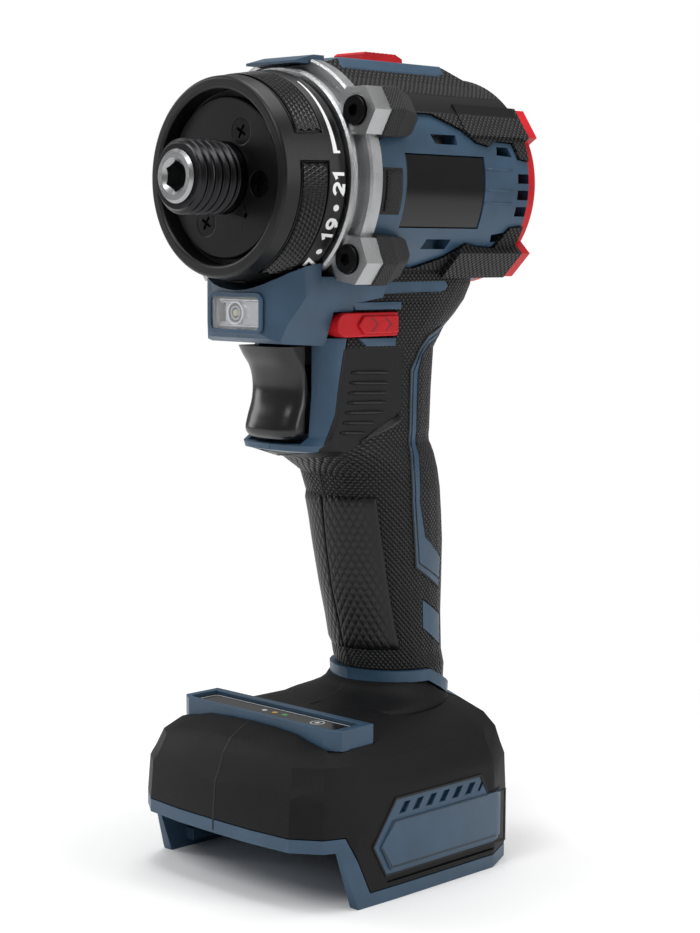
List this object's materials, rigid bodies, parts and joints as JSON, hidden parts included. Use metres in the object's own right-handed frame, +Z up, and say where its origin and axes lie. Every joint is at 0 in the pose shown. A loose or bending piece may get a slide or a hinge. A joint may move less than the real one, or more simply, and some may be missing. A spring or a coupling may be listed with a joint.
{
  "type": "electric torque screwdriver",
  "caption": "Bare cordless torque screwdriver with a threaded quick-change nose, numbered torque collar, pistol grip with trigger, and a slide-on battery base.",
  "frame": {"origin": "middle of the footprint, on the surface that the battery rails stand on", "axes": "+Z up, -Y towards the nose along the spindle, +X to the tool's left side"},
  "size_m": [0.072, 0.1009, 0.203],
  "materials": {
    "blue_plastic": "moulded, fine satin",
    "soft_black": "soft overmould with a fine raised knurl",
    "gloss_black": "glossy",
    "satin_black": "satin black coating",
    "die_cast": "die cast, slightly grainy",
    "dark_steel": "blackened steel",
    "bright_steel": "turned steel",
    "gear_steel": "sintered steel",
    "bronze": "sintered bronze and plated contacts",
    "copper": "enamelled copper wire",
    "red_plastic": "moulded, satin",
    "dark_plastic": "glass-filled black plastic",
    "clear_lens": "clear polycarbonate",
    "board_green": "circuit board"
  },
  "bodies": {
    "housing": {"housing_left": "blue_plastic", "housing_right": "blue_plastic", "barrel_grip_left": "soft_black", "barrel_grip_right": "soft_black", "handle_grip_left": "soft_black", "handle_grip_right": "soft_black", "base_grip_left": "soft_black", "base_grip_right": "soft_black", "side_plate_left": "gloss_black", "side_plate_right": "gloss_black", "gearbox_case": "die_cast", "gearbox_screws": "dark_steel", "motor_plate": "die_cast", "rear_cover": "red_plastic", "rear_cover_screws": "dark_steel", "front_plate": "satin_black", "front_plate_screws": "dark_steel", "nose_thread": "dark_steel", "spindle_bush": "bronze", "clutch_spring": "bright_steel", "clutch_ring": "bright_steel", "ring_gear_front": "gear_steel", "ring_gear_rear": "gear_steel", "motor_stator": "gear_steel", "motor_coils": "copper", "front_bearing": "bright_steel", "rear_bearing": "bright_steel", "led_lens": "clear_lens", "led_board": "board_green", "switch_body": "dark_plastic", "info_panel_frame": "blue_plastic", "info_panel_label": "gloss_black", "control_board": "board_green", "terminal_block": "dark_plastic", "terminal_blades": "bronze", "housing_screws": "dark_steel"},
    "collar": {"torque_collar": "satin_black"},
    "trigger": {"trigger": "gloss_black"},
    "direction": {"direction_button": "red_plastic"},
    "selector": {"speed_selector": "red_plastic"},
    "rotor": {"motor_rotor": "gear_steel", "cooling_fan": "dark_plastic"},
    "carrier": {"gear_carrier": "gear_steel"},
    "spindle": {"output_spindle": "bright_steel"},
    "rear_planet_a": {"rear_planet_a": "gear_steel"},
    "front_planet_a": {"front_planet_a": "gear_steel"},
    "rear_planet_b": {"rear_planet_b": "gear_steel"},
    "front_planet_b": {"front_planet_b": "gear_steel"},
    "rear_planet_c": {"rear_planet_c": "gear_steel"},
    "front_planet_c": {"front_planet_c": "gear_steel"}
  },
  "joints": [
    {"name": "trigger_pull", "type": "slide", "parent": "housing", "child": "trigger", "axis": [0, 1, 0], "range_m": [0, 0.006], "stiffness_N_per_m": 600, "springref_m": -0.003},
    {"name": "direction_slide", "type": "slide", "parent": "housing", "child": "direction", "axis": [1, 0, 0], "range_m": [-0.005, 0]},
    {"name": "speed_slide", "type": "slide", "parent": "housing", "child": "selector", "axis": [0, 1, 0], "range_m": [-0.005, 0]},
    {"name": "collar_turn", "type": "hinge", "parent": "housing", "child": "collar", "pos_m": [0, 0, 0.1712], "axis": [0, 1, 0], "range_deg": [0, 284]},
    {"name": "rotor_spin", "type": "hinge", "parent": "housing", "child": "rotor", "pos_m": [0, 0, 0.1712], "axis": [0, 1, 0], "continuous": true},
    {"name": "carrier_spin", "type": "hinge", "parent": "housing", "child": "carrier", "pos_m": [0, 0, 0.1712], "axis": [0, 1, 0], "continuous": true},
    {"name": "spindle_spin", "type": "hinge", "parent": "housing", "child": "spindle", "pos_m": [0, 0, 0.1712], "axis": [0, 1, 0], "continuous": true},
    {"name": "rear_planet_a_spin", "type": "hinge", "parent": "carrier", "child": "rear_planet_a", "pos_m": [0.0108, 0, 0.1712], "axis": [0, 1, 0], "continuous": true},
    {"name": "front_planet_a_spin", "type": "hinge", "parent": "spindle", "child": "front_planet_a", "pos_m": [0.0108, 0, 0.1712], "axis": [0, 1, 0], "continuous": true},
    {"name": "rear_planet_b_spin", "type": "hinge", "parent": "carrier", "child": "rear_planet_b", "pos_m": [-0.0054, 0, 0.18055], "axis": [0, 1, 0], "continuous": true},
    {"name": "front_planet_b_spin", "type": "hinge", "parent": "spindle", "child": "front_planet_b", "pos_m": [-0.0054, 0, 0.18055], "axis": [0, 1, 0], "continuous": true},
    {"name": "rear_planet_c_spin", "type": "hinge", "parent": "carrier", "child": "rear_planet_c", "pos_m": [-0.0054, 0, 0.16185], "axis": [0, 1, 0], "continuous": true},
    {"name": "front_planet_c_spin", "type": "hinge", "parent": "spindle", "child": "front_planet_c", "pos_m": [-0.0054, 0, 0.16185], "axis": [0, 1, 0], "continuous": true}
  ],
  "couplings": [
    {"joint": "carrier_spin", "follows": "rotor_spin", "ratio": 0.22222},
    {"joint": "spindle_spin", "follows": "rotor_spin", "ratio": 0.049383},
    {"joint": "rear_planet_a_spin", "follows": "rotor_spin", "ratio": -0.62222},
    {"joint": "front_planet_a_spin", "follows": "rotor_spin", "ratio": -0.13827},
    {"joint": "rear_planet_b_spin", "follows": "rotor_spin", "ratio": -0.62222},
    {"joint": "front_planet_b_spin", "follows": "rotor_spin", "ratio": -0.13827},
    {"joint": "rear_planet_c_spin", "follows": "rotor_spin", "ratio": -0.62222},
    {"joint": "front_planet_c_spin", "follows": "rotor_spin", "ratio": -0.13827}
  ]
}
